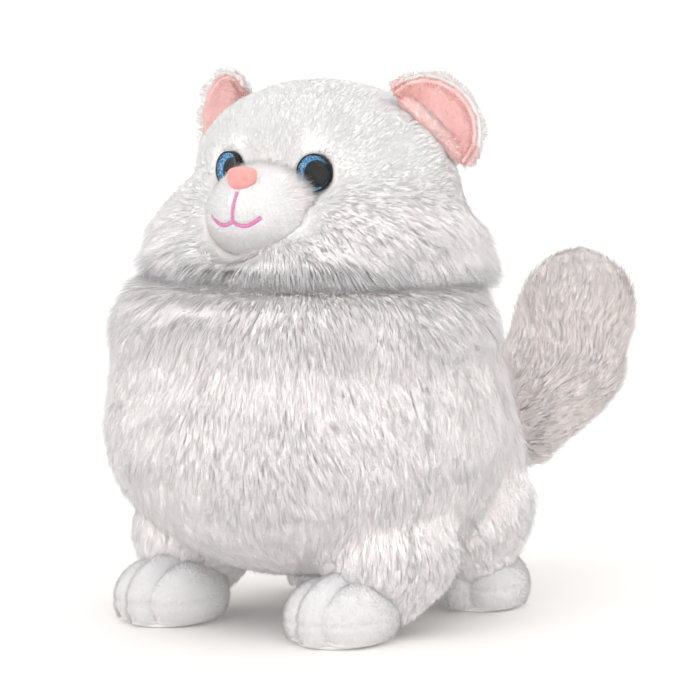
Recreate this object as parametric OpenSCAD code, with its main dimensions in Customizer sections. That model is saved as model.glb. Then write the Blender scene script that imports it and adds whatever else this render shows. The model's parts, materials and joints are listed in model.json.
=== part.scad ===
// Plush cat with a stuffed body, a soft neck, folding ears and a swinging tail.
// The cat faces -Y, its left side is +X, and the soles stand on Z = 0.
// Covers are modelled with their pile, so an outer face is where the pile ends.

/* [Body] */
// Belly width over the pile
belly_w = 220; // [183:1:264]
// Belly length over the pile
belly_l = 194; // [161:1:236]
// Belly height over the pile
belly_h = 152; // [132:1:180]
// Chest width over the pile
chest_w = 216; // [180:1:250]
// Chest length over the pile
chest_l = 196; // [172:1:236]
// Chest height over the pile
chest_h = 132; // [115:1:160]
// Rump width over the pile
rump_w = 168; // [145:1:205]
// Rump length over the pile
rump_l = 140; // [120:1:170]
// Rump height over the pile
rump_h = 124; // [105:1:150]
// Room between the floor and the belly
belly_gap = 28; // [23:1:34]
// Height of the neck crease
neck_h = 183; // [165:1:222]
// Thickness of the body covers with their pile
body_wall = 12; // [8:0.5:16]

/* [Head] */
// Width of the head between the cheeks
head_w = 176; // [150:1:212]
// Length of the head above the neck
head_l = 108; // [96:1:130]
// Height of the jaw
head_h = 88; // [74:1:106]
// Width of the skull
skull_w = 168; // [145:1:202]
// Length of the skull
skull_l = 98; // [88:1:118]
// Height of the skull
skull_h = 108; // [96:1:130]
// Size of each cheek, across, along and up
cheek_size = [90, 80, 80]; // [66:1:108]
// Size of the ruff that hangs to the neck crease
ruff_size = [186, 178, 54]; // [44:1:212]
// Size of the nape
nape_size = [164, 132, 60]; // [50:1:190]
// Thickness of the head covers with their pile
head_wall = 10; // [7:0.5:12]

/* [Face] */
// Size of the muzzle, across, along and up
muzzle_size = [62, 50, 49]; // [42:1:72]
// Thickness of the muzzle cover
muzzle_wall = 3; // [2:0.5:5]
// Eye diameter
eye_d = 20; // [15:0.5:24]
// Distance between the eyes
eye_gap = 56; // [46:1:68]
// Height of the eyes above the neck crease
eye_rise = 59; // [54:0.5:66]
// How far each eye turns outwards
eye_yaw = 10; // [0:1:20]
// Height of the clear eye dome
lens_h = 5; // [3:0.5:6]
// Pupil diameter
pupil_d = 13.5; // [8:0.5:15]
// Diameter of the shanks behind the eyes and the nose
shank_d = 4; // [3:0.2:5]
// Diameter of the lock washers
washer_d = 13; // [9:0.5:16]
// Nose width
nose_w = 22; // [14:0.5:26]
// Nose height
nose_h = 13; // [9:0.5:15]
// Thickness of the embroidered mouth line
mouth_d = 1.6; // [1:0.1:2.5]
// Width of the mouth
mouth_w = 32; // [24:1:40]

/* [Ears] */
// Ear width
ear_w = 60; // [48:1:72]
// Ear height above its fold
ear_h = 28; // [22:1:36]
// How deep the ear is cupped
ear_cup = 14; // [11:0.5:17]
// Thickness of the outer ear with its pile
ear_wall = 3; // [2:0.25:4]
// Thickness of the ear lining
lining_t = 2; // [1:0.25:3]
// How far each ear faces outwards
ear_turn = 25; // [0:1:40]
// Radius of the rolled ear root
ear_root_r = 5; // [4:0.25:6]
// Furthest that an ear folds forward
ear_fold_front = 20; // [10:1:24]
// Furthest that an ear folds back
ear_fold_back = 14; // [8:1:18]

/* [Legs] */
// Size of each foreleg, across, along and up
foreleg_size = [72, 80, 76]; // [62:1:92]
// Size of each thigh, across, along and up
thigh_size = [70, 76, 84]; // [60:1:98]
// Thickness of the leg covers with their pile
leg_wall = 10; // [7:0.5:13]
// Size of each forepaw, across, along and up
forepaw_size = [54, 68, 46]; // [44:1:80]
// Size of each hind paw, across, along and up
hindpaw_size = [50, 56, 44]; // [40:1:66]
// Thickness of the short-pile paw covers
paw_wall = 3; // [2:0.5:5]
// Height of the paw tops
paw_h = 36; // [32:1:40]
// Thickness of the sole patches
sole_t = 2; // [1:0.25:3]
// Thickness of the toe stitching
toe_thread_d = 1.2; // [0.8:0.1:2]
// Distance between the toe lines of a paw
toe_gap = 19; // [14:0.5:22]

/* [Tail] */
// Radius of the tail over the pile at its root
tail_root_r = 26; // [22:0.5:30]
// Radius of the tail over the pile at its middle
tail_mid_r = 35; // [30:0.5:40]
// Radius of the tail over the pile at its tip
tail_tip_r = 34; // [28:0.5:40]
// Thickness of the tail covers with their pile
tail_wall = 10; // [7:0.5:12]
// Radius of the stuffing that the tail turns on
tail_ball_r = 17; // [13:0.5:20]

/* [Joints] */
// Radius of the stuffing that the head turns on
neck_ball_r = 38; // [30:1:44]
// Furthest that the head nods each way
nod_travel = 5; // [3:0.5:8]
// Furthest that the tail bends at its root in any direction
tail_travel = 19; // [12:0.5:24]
// Gap between pieces that move on each other
move_gap = 0.6; // [0.4:0.1:1.2]

/* [Hidden] */

LEFT = 1;
RIGHT = -1;
far = 400;            // beyond every side of the cat
fine_fn = 32;         // facets round each seat
fit = 0.15;           // room round a shank in soft goods

// The origin is on the floor under the middle of the cat, nose to tail tip.
// These lengths run back from the middle of the belly.
rump_back = 73;
tail_reach = 65;
whole_l = belly_l / 2 + rump_back + rump_l / 2 + tail_reach + tail_tip_r;
mid_y = (belly_l - whole_l) / 2;     // middle of the belly

// Soft forms are eggs, written as [centre, size].
// How far back of the belly's middle, and below the neck crease, the chest sits.
chest_back = 5;
chest_drop = 37;
rump_sink = 6;                       // how far the rump hangs below the belly
belly = [[0, mid_y, belly_gap + belly_h / 2], [belly_w, belly_l, belly_h]];
chest = [[0, mid_y + chest_back, neck_h - chest_drop], [chest_w, chest_l, chest_h]];
rump = [[0, mid_y + rump_back, belly_gap - rump_sink + rump_h / 2], [rump_w, rump_l, rump_h]];
torso_parts = [belly, chest, rump];
side_seam_back = 35;
seam_y = mid_y + side_seam_back;     // side seams of the body
belly_panel_h = 20;
belly_seam_z = belly_gap + belly_panel_h;

// Where the forms of the head sit from the neck, across, back and up.
neck_back = 17;
skull_step = [0, 4, 53];
jaw_step = [0, 6, 23];
nape_step = [0, 20, 9];
ruff_step = [0, -1, 9];
cheek_step = [1, -20, 21];           // from a cheek that is flush with the head's side
muzzle_up = 37.4;
muzzle_out = 1.7;                    // from the front of the head to the muzzle's middle
neck_at = [0, mid_y + neck_back, neck_h];
skull = [neck_at + skull_step, [skull_w, skull_l, skull_h]];
jaw = [neck_at + jaw_step, [head_w, head_l, head_h]];
nape = [neck_at + nape_step, nape_size];
ruff = [neck_at + ruff_step, ruff_size];
head_parts = [skull, jaw, nape];
cheek = [neck_at + cheek_step + [(head_w - cheek_size.x) / 2, 0, 0], cheek_size];
muzzle = [[0, jaw[0].y - head_l / 2 - muzzle_out, neck_h + muzzle_up], muzzle_size];
head_seam_back = 14;
head_seam_y = neck_at.y + head_seam_back;    // the seam that takes in the ears

// Legs sit in from the sides of the body and start above the floor.
foreleg_in = 45;
foreleg_front = 6;                   // in front of the belly's middle
foreleg_low = 8;
thigh_in = 34;
thigh_back = 14;                     // behind the rump's middle
thigh_low = 14;
forepaw_step = [-8, -31];            // from the leg to its paw, across and back
hindpaw_back = 13;
hindpaw_drop = 2;                    // how much lower a hind paw is than a forepaw
foreleg = [
    [belly_w / 2 - foreleg_in, mid_y - foreleg_front, foreleg_low + foreleg_size.z / 2],
    foreleg_size
];
thigh = [
    [rump_w / 2 - thigh_in, rump[0].y + thigh_back, thigh_low + thigh_size.z / 2],
    thigh_size
];
forepaw = [
    [foreleg[0].x + forepaw_step.x, foreleg[0].y + forepaw_step.y, paw_h - forepaw_size.z / 2],
    forepaw_size
];
hindpaw = [
    [thigh[0].x, thigh[0].y + hindpaw_back, paw_h - hindpaw_drop - hindpaw_size.z / 2],
    hindpaw_size
];

// The eyes sit where the skull's front face passes under them.
eye_sink = 1.5;
eye_z = neck_h + eye_rise;
eye_y = front_of(skull, eye_gap / 2, eye_z) + eye_sink;
eye_base_t = 1.5;
eye_rim_h = 1.2;
eye_shank_l = head_wall + 5;
rim_w = 0.7;
glitter_t = 0.4;
pupil_step = [0.9, -0.7];            // off the middle of the eye
washer_t = 1.5;
washer_room = 4;                     // how far the stuffing is parted behind a shank
washer_gap = 1;                      // from the cover to a washer

nose_up = 0.36;                      // share of the muzzle's height
nose_z = muzzle[0].z + nose_up * muzzle_size.z;
nose_y = front_of(muzzle, 0, nose_z);
nose_lift = 20;                      // how far the nose tips upwards
nose_r = 3;                          // rounding of the nose
nose_out = 0.5;                      // from the muzzle to the middle of the nose pad
nose_shank_l = 11;
nose_washer_at = -nose_r - muzzle_wall - washer_gap;

// The ear folds on a line that lies just under the pile of the skull.
ear_lean = 45;
ear_depth = 0.95;
ear_round = [35, 32];                // how far up the skull's curve, across and up
ear_root_l = 0.74 * ear_w;
ear_at = [
    ear_depth * skull_w / 2 * cos(ear_round.x),
    head_seam_y,
    skull[0].z + ear_depth * skull_h / 2 * sin(ear_round.y)
];
ear_bowl_in = 2;                     // the cup leans towards the middle of the head
ear_bowl_up = 1.6;
ear_bowl = [
    [-ear_bowl_in, ear_root_r - ear_cup, ear_bowl_up],
    [ear_w, 2 * ear_cup, 2 * (ear_h - ear_bowl_up)]
];

// The tail swings round to the left and up, from where it leaves the rump.
tail_left = 8;
tail_up = 4;
tail_bend = [[14, 32, 10], [29, 56, 36], [33, tail_reach, 67]];
tail_at = [tail_left, rump[0].y + rump_l / 2, rump[0].z + tail_up];
tail_path = [
    [tail_at, tail_root_r],
    [tail_at + tail_bend[0], (tail_root_r + tail_mid_r) / 2],
    [tail_at + tail_bend[1], tail_mid_r],
    [tail_at + tail_bend[2], tail_tip_r]
];

spare_bend = 0.5;                    // degrees of room beyond each furthest bend

// A large egg has more facets round it than a small one.
function facets(size) = max(size) > 100 ? 24 : 18;

// Front face of an egg at one place across and up.
function front_of(form, x, z) =
    form[0].y - form[1].y / 2
    * sqrt(1 - pow(2 * (x - form[0].x) / form[1].x, 2) - pow(2 * (z - form[0].z) / form[1].z, 2));

// One egg, larger all round by grow.
module egg(form, grow = 0) {
    translate(form[0])
        hull() scale(form[1] / 2 + grow * [1, 1, 1]) sphere(1, $fn = facets(form[1]));
}

// Eggs joined in pairs, as a stuffed cover stretches over them.
module blend_eggs(forms, grow = 0) {
    for (i = [0 : len(forms) - 1])
        hull() {
            egg(forms[i], grow);
            egg(forms[(i + 1) % len(forms)], grow);
        }
}

// The left-hand shape, mirrored for the right side.
module on_side(side) {
    if (side == LEFT) children();
    else mirror([1, 0, 0]) children();
}

module torso_form(grow = 0) {
    blend_eggs(torso_parts, grow);
}

module head_form(grow = 0) {
    blend_eggs(head_parts, grow);
    for (side = [LEFT, RIGHT])
        on_side(side) egg(cheek, grow);
    egg(ruff, grow);
}

module tail_form(grow = 0) {
    for (i = [0 : len(tail_path) - 2])
        hull() {
            for (step = [tail_path[i], tail_path[i + 1]])
                egg([step[0], 2 * step[1] * [1, 1, 1]], grow);
        }
}

// Everything beyond a wide cone, which leaves room for a soft bend.
module bend_room(travel) {
    reach = 150;                     // past the furthest piece that bends
    translate([0, 0, move_gap]) cylinder(h = reach, r1 = 0, r2 = reach / tan(travel), $fn = fine_fn);
}

module above_neck() {
    translate(neck_at) bend_room(nod_travel + spare_bend);
}

module behind_rump() {
    translate(tail_at) rotate([-90, 0, 0]) bend_room(tail_travel + spare_bend);
}

module below_neck() {
    translate([-far, -far, -1]) cube([2 * far, 2 * far, neck_h - move_gap + 1]);
}

module neck_seat() {
    translate(neck_at) sphere(neck_ball_r + move_gap, $fn = fine_fn);
}

// The drawn thread of the neck seam lies round the neck just under the crease.
neck_thread_d = 1.6;
neck_thread_room = 2.6;              // all round the thread

module neck_stitch_room() {
    translate(neck_at - [0, 0, neck_thread_d + neck_thread_room - move_gap])
        cylinder(h = neck_thread_d + neck_thread_room,
            r = neck_ball_r + neck_thread_d + neck_thread_room, $fn = fine_fn);
}

module tail_seat() {
    translate(tail_at) sphere(tail_ball_r + move_gap, $fn = fine_fn);
}

// Half of space on one side of a level or upright plane.
module half(axis, place, above) {
    shift = [for (i = [0 : 2]) i == axis ? (above ? place : place - 2 * far) : -far];
    translate(shift) cube(2 * far);
}

// Torso

module leg_mouths() {
    for (side = [LEFT, RIGHT])
        on_side(side) {
            egg(foreleg, -leg_wall);
            egg(thigh, -leg_wall);
        }
}

module torso_shell() {
    difference() {
        intersection() {
            torso_form();
            below_neck();
        }
        torso_form(-body_wall);
        neck_seat();
        neck_stitch_room();
        tail_seat();
        leg_mouths();
    }
}

module torso_front_cover() {
    color("white") intersection() {
        torso_shell();
        half(1, seam_y, false);
        half(2, belly_seam_z, true);
    }
}

module torso_back_cover() {
    color("whitesmoke") intersection() {
        torso_shell();
        half(1, seam_y, true);
        half(2, belly_seam_z, true);
    }
}

module belly_cover() {
    color("gainsboro") intersection() {
        torso_shell();
        half(2, belly_seam_z, false);
    }
}

module torso_stuffing() {
    color("ivory") difference() {
        intersection() {
            torso_form(-body_wall);
            below_neck();
        }
        neck_seat();
        neck_stitch_room();
        tail_seat();
    }
}

// Ladder stitches that close the belly after stuffing, one short bar after another.
closing_l = 60;
closing_pitch = 6;
closing_thread_d = 1;
closing_bar_l = 5;

module closing_stitches() {
    bars = floor(closing_l / closing_pitch);
    color("gainsboro") difference() {
        intersection() {
            torso_form(closing_thread_d / 2);
            for (i = [0 : bars])
                translate([-closing_bar_l / 2, mid_y + (i - bars / 2) * closing_pitch, 0])
                    cube([closing_bar_l, closing_thread_d, belly_seam_z]);
        }
        torso_form();
    }
}

// Legs

module leg_cover(side, leg, paw) {
    color("white") on_side(side) difference() {
        egg(leg);
        egg(leg, -leg_wall);
        torso_form();
        egg(paw, -paw_wall);
        half(2, sole_t, false);
    }
}

module leg_stuffing(side, leg, paw) {
    color("ivory") on_side(side) difference() {
        union() {
            egg(leg, -leg_wall);
            egg(paw, -paw_wall);
        }
        torso_form(-body_wall);
        half(2, sole_t, false);
    }
}

module paw_cover(side, leg, paw) {
    color("white") on_side(side) difference() {
        egg(paw);
        egg(paw, -paw_wall);
        egg(leg);
        torso_form();
        half(2, sole_t, false);
    }
}

// A flat patch with round ends, inside the foot of the paw.
sole_share = [0.8, 0.92];            // of the foot, across and along

module sole(side, paw) {
    foot = sqrt(1 - pow((paw[0].z - sole_t) / (paw[1].z / 2), 2));
    sole_r = sole_share.x * foot * paw[1].x / 2;
    sole_half = sole_share.y * foot * paw[1].y / 2;
    color("white") on_side(side)
        translate([paw[0].x, paw[0].y, 0])
            linear_extrude(sole_t) {
                for (end = [-1, 1])
                    translate([0, end * (sole_half - sole_r)]) circle(sole_r, $fn = fine_fn);
                square([2 * sole_r, 2 * (sole_half - sole_r)], center = true);
            }
}

module foreleg_left_cover() { leg_cover(LEFT, foreleg, forepaw); }
module foreleg_right_cover() { leg_cover(RIGHT, foreleg, forepaw); }
module thigh_left_cover() { leg_cover(LEFT, thigh, hindpaw); }
module thigh_right_cover() { leg_cover(RIGHT, thigh, hindpaw); }
module foreleg_left_stuffing() { leg_stuffing(LEFT, foreleg, forepaw); }
module foreleg_right_stuffing() { leg_stuffing(RIGHT, foreleg, forepaw); }
module thigh_left_stuffing() { leg_stuffing(LEFT, thigh, hindpaw); }
module thigh_right_stuffing() { leg_stuffing(RIGHT, thigh, hindpaw); }
module forepaw_left_cover() { paw_cover(LEFT, foreleg, forepaw); }
module forepaw_right_cover() { paw_cover(RIGHT, foreleg, forepaw); }
module hindpaw_left_cover() { paw_cover(LEFT, thigh, hindpaw); }
module hindpaw_right_cover() { paw_cover(RIGHT, thigh, hindpaw); }
module forepaw_left_sole() { sole(LEFT, forepaw); }
module forepaw_right_sole() { sole(RIGHT, forepaw); }
module hindpaw_left_sole() { sole(LEFT, hindpaw); }
module hindpaw_right_sole() { sole(RIGHT, hindpaw); }

// Threads over the front of each paw, which draw it into toes.
module toe_stitches() {
    color("gainsboro")
        for (side = [LEFT, RIGHT], pair = [[foreleg, forepaw], [thigh, hindpaw]])
            on_side(side) difference() {
                intersection() {
                    egg(pair[1], toe_thread_d / 2);
                    for (line = [-1, 1])
                        translate(pair[1][0] + [(line * toe_gap - toe_thread_d) / 2, -far, 0])
                            cube([toe_thread_d, far - pair[1][1].y / 8, far]);
                }
                egg(pair[1]);
                egg(pair[0]);
                torso_form();
            }
}

// Neck

module neck_stuffing() {
    color("ivory") translate(neck_at) sphere(neck_ball_r, $fn = fine_fn);
}

module neck_stitches() {
    color("white") difference() {
        translate(neck_at - [0, 0, neck_thread_d])
            rotate_extrude($fn = fine_fn)
                translate([neck_ball_r + neck_thread_d / 4, 0]) circle(d = neck_thread_d, $fn = 16);
        neck_stuffing();
    }
}

// Head

module ear_room() {
    for (side = [LEFT, RIGHT])
        on_side(side) at_ear() {
            rotate([0, 90, 0])
                cylinder(h = ear_root_l + 2 * move_gap, r = ear_root_r + move_gap,
                    center = true, $fn = fine_fn);
            hull() {
                for (fold = [-ear_fold_back, 0, ear_fold_front])
                    rotate([fold, 0, 0]) bowl(move_gap);
            }
        }
}

module eye_room() {
    for (side = [LEFT, RIGHT])
        on_side(side) at_eye() {
            translate([0, 0, -eye_base_t - fit])
                cylinder(h = 2 * eye_base_t + lens_h, d = eye_d + 2 * fit, $fn = fine_fn);
            translate([0, 0, -eye_shank_l - fit])
                cylinder(h = eye_shank_l, d = shank_d + 2 * fit, $fn = 24);
            translate([0, 0, -eye_shank_l - washer_room])
                cylinder(h = eye_shank_l + washer_room - head_wall + eye_sink - washer_gap,
                    d = washer_d + 2 * fit, $fn = 24);
        }
}

module nose_room() {
    at_nose() {
        nose_pad(0.05);
        translate([0, 0, -nose_shank_l - fit])
            cylinder(h = nose_shank_l, d = shank_d + 2 * fit, $fn = 24);
        translate([0, 0, -nose_shank_l - fit])
            cylinder(h = nose_shank_l + nose_washer_at + 2 * fit, d = washer_d + 2 * fit,
                $fn = 24);
    }
}

module head_shell() {
    difference() {
        intersection() {
            head_form();
            above_neck();
        }
        head_form(-head_wall);
        neck_seat();
        egg(muzzle);
        ear_room();
        eye_room();
        nose_room();
    }
}

module head_front_cover() {
    color("white") intersection() {
        head_shell();
        half(1, head_seam_y, false);
    }
}

module head_back_cover() {
    color("whitesmoke") intersection() {
        head_shell();
        half(1, head_seam_y, true);
    }
}

module muzzle_cover() {
    color("white") difference() {
        egg(muzzle);
        egg(muzzle, -muzzle_wall);
        head_form(-head_wall);
        nose_room();
        eye_room();
    }
}

module head_stuffing() {
    color("ivory") difference() {
        union() {
            intersection() {
                head_form(-head_wall);
                above_neck();
            }
            egg(muzzle, -muzzle_wall);
        }
        neck_seat();
        ear_room();
        eye_room();
        nose_room();
    }
}

// Eyes: a black base with a shank, a glitter disc, a pupil and a clear dome.

module at_eye() {
    translate([eye_gap / 2, eye_y, eye_z]) rotate([90, 0, eye_yaw]) children();
}

module eye_base(side) {
    color("black") on_side(side) at_eye() {
        translate([0, 0, -eye_base_t]) cylinder(h = eye_base_t, d = eye_d, $fn = fine_fn);
        translate([0, 0, -eye_shank_l])
            cylinder(h = eye_shank_l - eye_base_t / 2, d = shank_d, $fn = 24);
        difference() {
            cylinder(h = eye_rim_h, d = eye_d, $fn = fine_fn);
            translate([0, 0, -eye_rim_h])
                cylinder(h = 3 * eye_rim_h, d = eye_d - 2 * rim_w, $fn = fine_fn);
        }
    }
}

module eye_glitter(side) {
    color("deepskyblue") on_side(side) at_eye()
        cylinder(h = glitter_t, d = eye_d - 2 * rim_w, $fn = fine_fn);
}

module pupil_disc() {
    translate([pupil_step.x, pupil_step.y, glitter_t])
        cylinder(h = glitter_t, d = pupil_d, $fn = fine_fn);
}

module eye_pupil(side) {
    color("black") on_side(side) at_eye() pupil_disc();
}

module eye_lens(side) {
    base_r = eye_d / 2 - rim_w;
    dome_r = (pow(base_r, 2) + pow(lens_h, 2)) / (2 * lens_h);
    color("lightcyan", 0.4) on_side(side) at_eye() difference() {
        intersection() {
            translate([0, 0, glitter_t + lens_h - dome_r]) sphere(dome_r, $fn = fine_fn);
            translate([0, 0, glitter_t]) cylinder(h = lens_h + 1, r = base_r, $fn = fine_fn);
        }
        pupil_disc();
    }
}

module washer(place) {
    translate([0, 0, place - washer_t]) difference() {
        cylinder(h = washer_t, d = washer_d, $fn = fine_fn);
        translate([0, 0, -1]) cylinder(h = washer_t + 2, d = shank_d, $fn = 24);
    }
}

module eye_washer(side) {
    color("silver") on_side(side) at_eye() washer(eye_sink - head_wall - washer_gap);
}

module eye_left_base() { eye_base(LEFT); }
module eye_left_glitter() { eye_glitter(LEFT); }
module eye_left_pupil() { eye_pupil(LEFT); }
module eye_left_lens() { eye_lens(LEFT); }
module eye_left_washer() { eye_washer(LEFT); }
module eye_right_base() { eye_base(RIGHT); }
module eye_right_glitter() { eye_glitter(RIGHT); }
module eye_right_pupil() { eye_pupil(RIGHT); }
module eye_right_lens() { eye_lens(RIGHT); }
module eye_right_washer() { eye_washer(RIGHT); }

// Nose: a rounded triangle with a shank, held by a washer.

module at_nose() {
    translate([0, nose_y, nose_z]) rotate([90 - nose_lift, 0, 0]) children();
}

module nose_pad(grow = 0) {
    hull() {
        for (x = [-1, 1])
            translate([x * (nose_w / 2 - nose_r), nose_h / 2 - nose_r, nose_out])
                sphere(nose_r + grow, $fn = 16);
        translate([0, nose_r - nose_h / 2, nose_out]) sphere(nose_r + grow, $fn = 16);
    }
}

module nose_cap() {
    color("lightsalmon") at_nose() {
        nose_pad();
        translate([0, 0, -nose_shank_l]) cylinder(h = nose_shank_l, d = shank_d, $fn = 24);
    }
}

module nose_washer() {
    color("silver") at_nose() washer(nose_washer_at);
}

// Mouth: satin stitch on the muzzle, a short upright line over a curved one.
mouth_top = muzzle[0].z + 0.25 * muzzle_size.z;
mouth_low = muzzle[0].z - 0.05 * muzzle_size.z;
mouth_dip = 2.5;
mouth_end_rise = 2.6;
mouth_steps = 6;

function on_muzzle(x, z) = [x, front_of(muzzle, x, z), z];
function mouth_point(u) =
    on_muzzle(u * mouth_w / 2,
        mouth_low - mouth_dip * sin(180 * abs(u)) + mouth_end_rise * pow(u, 2));

module thread_line(points, d) {
    for (i = [0 : len(points) - 2])
        hull() {
            translate(points[i]) sphere(d = d, $fn = 8);
            translate(points[i + 1]) sphere(d = d, $fn = 8);
        }
}

module mouth_stitches() {
    upright = [for (i = [0 : 4]) on_muzzle(0, mouth_top + (mouth_low - mouth_top) * i / 4)];
    curve = [for (i = [-mouth_steps : mouth_steps]) mouth_point(i / mouth_steps)];
    color("hotpink") difference() {
        union() {
            thread_line(upright, mouth_d);
            thread_line(curve, mouth_d);
        }
        egg(muzzle);
    }
}

// Ears: a cupped outer piece on a rolled root, with a lining in the cup.

module at_ear() {
    translate(ear_at) rotate([0, 0, ear_turn]) rotate([0, ear_lean, 0]) children();
}

module ear_root() {
    rotate([0, 90, 0]) cylinder(h = ear_root_l, r = ear_root_r, center = true, $fn = 24);
}

// The upper back quarter of an egg.
module bowl(grow = 0) {
    difference() {
        egg(ear_bowl, grow);
        translate([-far, ear_bowl[0].y - max(grow, 0) - 2 * far, -far]) cube(2 * far);
        translate([-far, -far, -max(grow, 0) - 2 * far]) cube(2 * far);
    }
}

// A hollow bowl, open to the front and below.
module bowl_shell(outer, inner) {
    difference() {
        bowl(outer);
        egg(ear_bowl, inner);
    }
}

module ear_outer(side) {
    color("white") on_side(side) at_ear() {
        bowl_shell(0, -ear_wall);
        ear_root();
    }
}

module ear_lining(side) {
    color("pink") on_side(side) at_ear() difference() {
        bowl_shell(-ear_wall, -ear_wall - lining_t);
        ear_root();
    }
}

module ear_left_outer() { ear_outer(LEFT); }
module ear_left_lining() { ear_lining(LEFT); }
module ear_right_outer() { ear_outer(RIGHT); }
module ear_right_lining() { ear_lining(RIGHT); }

// Tail

module tail_root_stuffing() {
    color("ivory") translate(tail_at) sphere(tail_ball_r, $fn = fine_fn);
}

module tail_shell() {
    difference() {
        intersection() {
            tail_form();
            behind_rump();
        }
        tail_form(-tail_wall);
        tail_seat();
    }
}

// The two tail covers meet along the sides of the tail, across its bend.
tail_seam_turn = 25;
tail_seam_lift = 42;

module tail_above() {
    translate(tail_at) rotate([0, 0, -tail_seam_turn]) rotate([tail_seam_lift, 0, 0])
        translate([-far, -far, 0]) cube([2 * far, 2 * far, far]);
}

module tail_upper_cover() {
    color("white") intersection() {
        tail_shell();
        tail_above();
    }
}

module tail_lower_cover() {
    color("whitesmoke") difference() {
        tail_shell();
        tail_above();
    }
}

module tail_stuffing() {
    color("ivory") difference() {
        intersection() {
            tail_form(-tail_wall);
            behind_rump();
        }
        tail_seat();
    }
}

torso_front_cover();
torso_back_cover();
belly_cover();
torso_stuffing();
closing_stitches();
foreleg_left_cover();
foreleg_right_cover();
thigh_left_cover();
thigh_right_cover();
foreleg_left_stuffing();
foreleg_right_stuffing();
thigh_left_stuffing();
thigh_right_stuffing();
forepaw_left_cover();
forepaw_right_cover();
hindpaw_left_cover();
hindpaw_right_cover();
forepaw_left_sole();
forepaw_right_sole();
hindpaw_left_sole();
hindpaw_right_sole();
toe_stitches();
neck_stuffing();
neck_stitches();
head_front_cover();
head_back_cover();
head_stuffing();
muzzle_cover();
nose_cap();
nose_washer();
mouth_stitches();
eye_left_base();
eye_left_glitter();
eye_left_pupil();
eye_left_lens();
eye_left_washer();
eye_right_base();
eye_right_glitter();
eye_right_pupil();
eye_right_lens();
eye_right_washer();
ear_left_outer();
ear_left_lining();
ear_right_outer();
ear_right_lining();
tail_root_stuffing();
tail_upper_cover();
tail_lower_cover();
tail_stuffing();
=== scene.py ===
"""Looks of the plush cat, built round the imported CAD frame. Metres, cat facing -Y, left side +X."""
import json
import math

import bmesh
import bpy
import numpy as np
from mathutils import Matrix, Vector, kdtree
from mathutils.bvhtree import BVHTree


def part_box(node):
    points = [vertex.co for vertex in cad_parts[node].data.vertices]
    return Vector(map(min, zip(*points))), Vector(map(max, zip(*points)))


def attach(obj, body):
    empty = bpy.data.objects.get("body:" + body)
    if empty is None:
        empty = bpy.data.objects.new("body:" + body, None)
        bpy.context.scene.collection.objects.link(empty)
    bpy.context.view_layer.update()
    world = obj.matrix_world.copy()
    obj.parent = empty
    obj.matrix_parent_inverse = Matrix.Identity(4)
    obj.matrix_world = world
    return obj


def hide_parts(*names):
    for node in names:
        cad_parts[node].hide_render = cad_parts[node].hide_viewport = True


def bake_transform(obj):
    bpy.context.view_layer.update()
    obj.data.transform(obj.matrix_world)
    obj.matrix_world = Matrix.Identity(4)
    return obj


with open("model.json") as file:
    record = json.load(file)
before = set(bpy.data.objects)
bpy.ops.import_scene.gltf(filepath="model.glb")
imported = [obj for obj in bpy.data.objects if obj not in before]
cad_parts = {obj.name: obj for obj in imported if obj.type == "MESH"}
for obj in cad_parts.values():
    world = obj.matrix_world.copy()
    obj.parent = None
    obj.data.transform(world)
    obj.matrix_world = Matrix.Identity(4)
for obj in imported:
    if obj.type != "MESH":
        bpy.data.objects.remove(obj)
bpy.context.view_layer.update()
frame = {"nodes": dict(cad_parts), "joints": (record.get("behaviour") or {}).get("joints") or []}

NODES = frame["nodes"]
JOINTS = {joint["name"]: joint for joint in frame["joints"]}
NECK = np.array(JOINTS["head_turn"]["pos_m"])
TAIL = np.array(JOINTS["tail_swing"]["pos_m"])
SIDES = {"left": 1, "right": -1}
UP = np.array([0.0, 0.0, 1.0])
MM = 0.001


# Numbers and meshes

def smoothstep(low, high, value):
    t = np.clip((value - low) / (high - low), 0, 1)
    return t * t * (3 - 2 * t)


def unit(vectors):
    return vectors / np.maximum(np.linalg.norm(vectors, axis=-1, keepdims=True), 1e-9)


def along_surface(vectors, normals):
    """Unit vectors with the part that stands off the surface taken out."""
    return unit(vectors - (vectors * normals).sum(-1, keepdims=True) * normals)


def wobble(points, wavelength, seed):
    """Smooth noise between about -1 and 1 at each point."""
    rng = np.random.default_rng(seed)
    total = np.zeros(len(points))
    waves = 7
    for _ in range(waves):
        direction = unit(rng.normal(size=3)) * 2 * math.pi / (wavelength * rng.uniform(0.7, 1.4))
        total += np.sin(points @ direction + rng.uniform(0, 2 * math.pi))
    return total / math.sqrt(waves)


def corners(node):
    """Lowest and highest corner of a CAD node."""
    return tuple(np.array(corner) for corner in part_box(node))


def coords(mesh):
    flat = np.empty(len(mesh.vertices) * 3, np.float32)
    mesh.vertices.foreach_get("co", flat)
    return flat.reshape(-1, 3).astype(float)


def set_coords(mesh, points):
    mesh.vertices.foreach_set("co", np.asarray(points, np.float32).ravel())
    mesh.update()


def vertex_normals(mesh):
    flat = np.empty(len(mesh.vertices) * 3, np.float32)
    mesh.vertex_normals.foreach_get("vector", flat)
    return flat.reshape(-1, 3).astype(float)


def add_object(name, mesh, *materials):
    obj = bpy.data.objects.new(name, mesh)
    bpy.context.scene.collection.objects.link(obj)
    for material in materials:
        mesh.materials.append(material)
    return obj


def place_piece(piece, body, slot, *nodes, fill=None):
    """The piece moves with a body and hides the CAD nodes that it stands for. Slot and fill are not
    used.
    """
    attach(piece, body)
    if nodes:
        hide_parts(*nodes)


def settle(obj):
    """Puts what the modifiers make into the mesh."""
    graph = bpy.context.evaluated_depsgraph_get()
    mesh = bpy.data.meshes.new_from_object(obj.evaluated_get(graph))
    obj.modifiers.clear()
    obj.data = mesh


def smooth_faces(mesh):
    mesh.polygons.foreach_set("use_smooth", np.ones(len(mesh.polygons), bool))
    mesh.update()


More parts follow.
